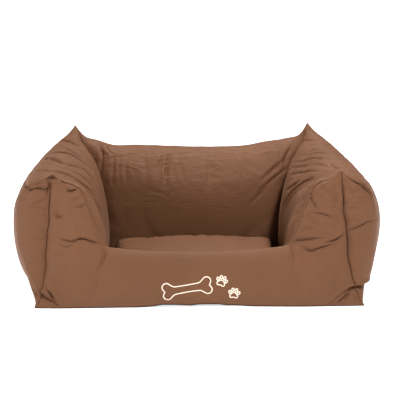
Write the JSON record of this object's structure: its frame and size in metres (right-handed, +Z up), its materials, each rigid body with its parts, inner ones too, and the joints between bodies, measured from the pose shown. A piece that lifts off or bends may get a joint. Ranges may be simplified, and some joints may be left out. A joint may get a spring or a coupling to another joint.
{
  "type": "bolster dog bed",
  "caption": "Rectangular bolster dog bed with stuffed walls, pointed rear corners, a low front entrance and a loose crowned cushion with a hidden zip.",
  "frame": {"origin": "on the ground under the middle of the base, at the face of the middle grip dot", "axes": "+Z up, +X to the right of someone who stands in front of the entrance, entrance on the -Y side"},
  "size_m": [0.9378, 0.6837, 0.3619],
  "materials": {
    "brown_cloth": "satin coated weave",
    "black_cloth": "matt cloth with rubbery dots",
    "stuffing": "white fibre filling",
    "zip_tape": "woven tape",
    "zip_coil": "moulded nylon",
    "zip_metal": "lacquered zinc"
  },
  "bodies": {
    "bed": {"base_cover": "black_cloth", "base_wadding": "stuffing", "floor_panel": "brown_cloth", "front_filling": "stuffing", "front_inner_panel": "brown_cloth", "front_outer_panel": "brown_cloth", "left_filling": "stuffing", "left_inner_panel": "brown_cloth", "left_outer_panel": "brown_cloth", "rear_filling": "stuffing", "rear_inner_panel": "brown_cloth", "rear_outer_panel": "brown_cloth", "right_filling": "stuffing", "right_inner_panel": "brown_cloth", "right_outer_panel": "brown_cloth"},
    "cushion": {"cushion_border": "brown_cloth", "cushion_bottom_panel": "brown_cloth", "cushion_filling": "stuffing", "cushion_top_panel": "brown_cloth", "zip_coil_lower": "zip_coil", "zip_coil_upper": "zip_coil", "zip_stop_left": "zip_metal", "zip_stop_right": "zip_metal", "zip_tape_lower": "zip_tape", "zip_tape_upper": "zip_tape"},
    "slider": {"zip_slider": "zip_metal"}
  },
  "joints": [
    {"name": "cushion_lift", "type": "slide", "parent": "bed", "child": "cushion", "axis": [0, 0, 1], "range_m": [0, 0.3]},
    {"name": "zip_slide", "type": "slide", "parent": "cushion", "child": "slider", "axis": [1, 0, 0], "range_m": [0, 0.3403]}
  ]
}
